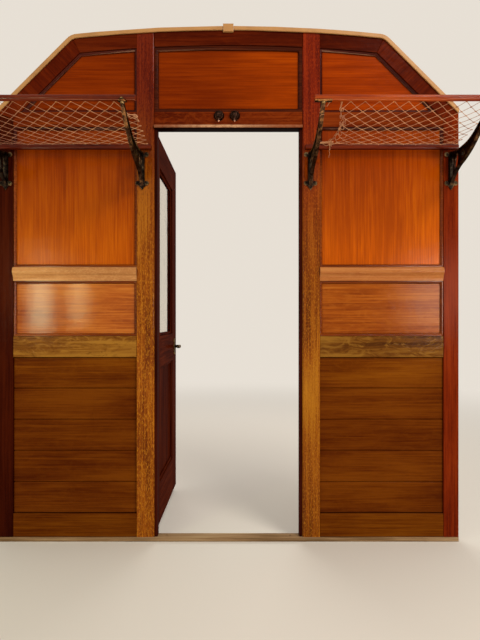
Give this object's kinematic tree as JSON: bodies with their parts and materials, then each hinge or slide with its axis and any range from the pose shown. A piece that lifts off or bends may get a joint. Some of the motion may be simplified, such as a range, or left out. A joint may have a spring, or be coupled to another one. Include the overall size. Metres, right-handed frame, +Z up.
{
  "type": "coach saloon bulkhead with doorway, hinged door and luggage racks",
  "caption": "Framed and panelled timber partition across a railway coach, with an arched head, a central doorway with an open hinged door, and net luggage racks on openwork brackets.",
  "frame": {"origin": "middle of the underside of the sill, half way through the wall's thickness", "axes": "+X across the coach to the right as seen from the saloon, +Y from the saloon through the doorway, +Z up"},
  "size_m": [2.22, 1.1754, 2.49],
  "materials": {
    "post_wood": "varnished, golden",
    "frame_wood": "varnished, dark",
    "panel_wood": "varnished, orange brown",
    "door_wood": "varnished, very dark red",
    "sill_wood": "bare",
    "cream_paint": "cream paint on wood",
    "bronze": "dark patina, worn bright on edges",
    "brass": "dull",
    "net_string": "knotted string",
    "clear_glass": "clear"
  },
  "bodies": {
    "wall": {"sill": "sill_wood", "centre_top_rail": "frame_wood", "door_header": "frame_wood", "centre_panel": "panel_wood", "centre_bead": "frame_wood", "door_linings": "door_wood", "cornice_bead": "cream_paint", "ridge_block": "cream_paint", "light_switches": "bronze", "hinges_wall": "brass", "door_keeper": "brass", "door_post_left": "post_wood", "corner_post_left": "post_wood", "top_rail_left": "frame_wood", "cant_rail_left": "frame_wood", "mid_rail_left": "frame_wood", "dado_rail_left": "post_wood", "skirting_left": "panel_wood", "upper_panel_left": "panel_wood", "main_panel_left": "panel_wood", "waist_panel_left": "panel_wood", "panel_beads_left": "frame_wood", "waist_rail_left": "frame_wood", "lower_boards_left": "panel_wood", "rack_rail_left": "frame_wood", "rack_batten_left": "frame_wood", "rack_net_left": "net_string", "rack_bracket_left_inner": "bronze", "rack_bracket_left_outer": "bronze", "door_post_right": "post_wood", "corner_post_right": "post_wood", "top_rail_right": "frame_wood", "cant_rail_right": "frame_wood", "mid_rail_right": "frame_wood", "dado_rail_right": "post_wood", "skirting_right": "panel_wood", "upper_panel_right": "panel_wood", "main_panel_right": "panel_wood", "waist_panel_right": "panel_wood", "panel_beads_right": "frame_wood", "waist_rail_right": "frame_wood", "lower_boards_right": "panel_wood", "rack_rail_right": "frame_wood", "rack_batten_right": "frame_wood", "rack_net_right": "net_string", "rack_bracket_right_inner": "bronze", "rack_bracket_right_outer": "bronze"},
    "door": {"door_hinge_stile": "door_wood", "door_lock_stile": "door_wood", "door_top_rail": "door_wood", "door_lock_rail": "door_wood", "door_bottom_rail": "door_wood", "door_glass": "clear_glass", "door_lower_panel": "door_wood", "door_beads": "door_wood", "door_handle": "bronze", "hinges_door": "brass"}
  },
  "joints": [
    {"name": "door_hinge", "type": "hinge", "parent": "wall", "child": "door", "pos_m": [-0.357, 0.0295, 0.907], "axis": [0, 0, -1], "range_deg": [0, 90]}
  ]
}
